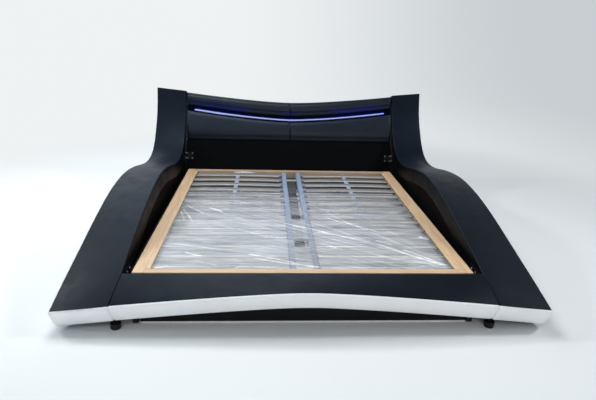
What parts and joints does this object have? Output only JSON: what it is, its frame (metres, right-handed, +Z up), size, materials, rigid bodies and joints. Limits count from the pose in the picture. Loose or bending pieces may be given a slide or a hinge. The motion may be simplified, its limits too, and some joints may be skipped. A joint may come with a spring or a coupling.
{
  "type": "upholstered bed",
  "caption": "Low double bed with wave-shaped padded side rails, wings beside a leaning headboard with a lit groove, and a lift-out slatted base.",
  "frame": {"origin": "on the floor, under the middle of the whole bed's length and width", "axes": "+X to the right side seen from the foot, +Y from the foot towards the headboard, +Z up"},
  "size_m": [2.504, 2.6632, 0.8998],
  "materials": {
    "black_leather": "satin, fine grain",
    "white_leather": "satin, fine grain",
    "dark_fabric": "matte woven cloth",
    "foam": "matte upholstery foam, modelled as soft cloth filling",
    "plywood": "raw plywood",
    "black_board": "black laminate over board",
    "pale_strip": "matte edge strip",
    "black_plastic": "matte",
    "aluminium": "anodised",
    "light_board": "white circuit strip",
    "light_diffuser": "milky diffuser, lit",
    "black_steel": "black powder coat",
    "grey_steel": "blue-grey powder coat",
    "zinc_steel": "zinc plated",
    "birch": "pale birch veneer",
    "blue_webbing": "woven webbing",
    "clear_film": "thin clear wrapping film"
  },
  "bodies": {
    "bed_frame": {"centre_beam": "black_steel", "centre_legs": "black_steel", "foot_band": "white_leather", "foot_board": "plywood", "foot_bolts": "zinc_steel", "foot_brackets": "black_steel", "foot_cover": "black_leather", "foot_deck": "plywood", "foot_foam": "foam", "foot_plinth": "black_board", "head_bolts": "zinc_steel", "head_brackets": "black_steel", "head_crossbar": "black_steel", "headboard_back_cover": "dark_fabric", "headboard_feet": "black_plastic", "headboard_groove_back": "dark_fabric", "headboard_lower_cushion": "black_leather", "headboard_lower_panel": "black_board", "headboard_packers": "plywood", "headboard_panel": "plywood", "headboard_posts": "plywood", "headboard_upper_cushion": "black_leather", "light_channel": "aluminium", "light_diffuser": "light_diffuser", "light_driver": "black_plastic", "light_strip": "light_board", "plinth_feet": "black_plastic", "plinth_strip": "pale_strip", "side_board_left": "plywood", "side_board_right": "plywood", "side_cover_left": "black_leather", "side_cover_right": "black_leather", "side_deck_left": "plywood", "side_deck_right": "plywood", "side_edging_left": "white_leather", "side_edging_right": "white_leather", "side_feet": "black_plastic", "side_foam_left": "foam", "side_foam_right": "foam", "side_ledgers": "plywood", "side_liners": "black_leather", "side_noses": "white_leather", "side_plinths": "black_board", "side_ribs": "plywood", "side_undersides": "dark_fabric", "wing_caps": "black_leather"},
    "slatted_base": {"base_centre_rails": "grey_steel", "base_cross_plates": "black_plastic", "base_film": "clear_film", "base_foot_rail": "birch", "base_head_batten": "birch", "base_head_rail": "birch", "base_holders_left": "black_plastic", "base_holders_right": "black_plastic", "base_screws": "zinc_steel", "base_side_rails": "birch", "base_slats_left": "birch", "base_slats_right": "birch", "base_straps": "blue_webbing"}
  },
  "joints": [
    {"name": "base_lift_out", "type": "slide", "parent": "bed_frame", "child": "slatted_base", "axis": [0, 0, 1], "range_m": [0, 0.7]}
  ]
}
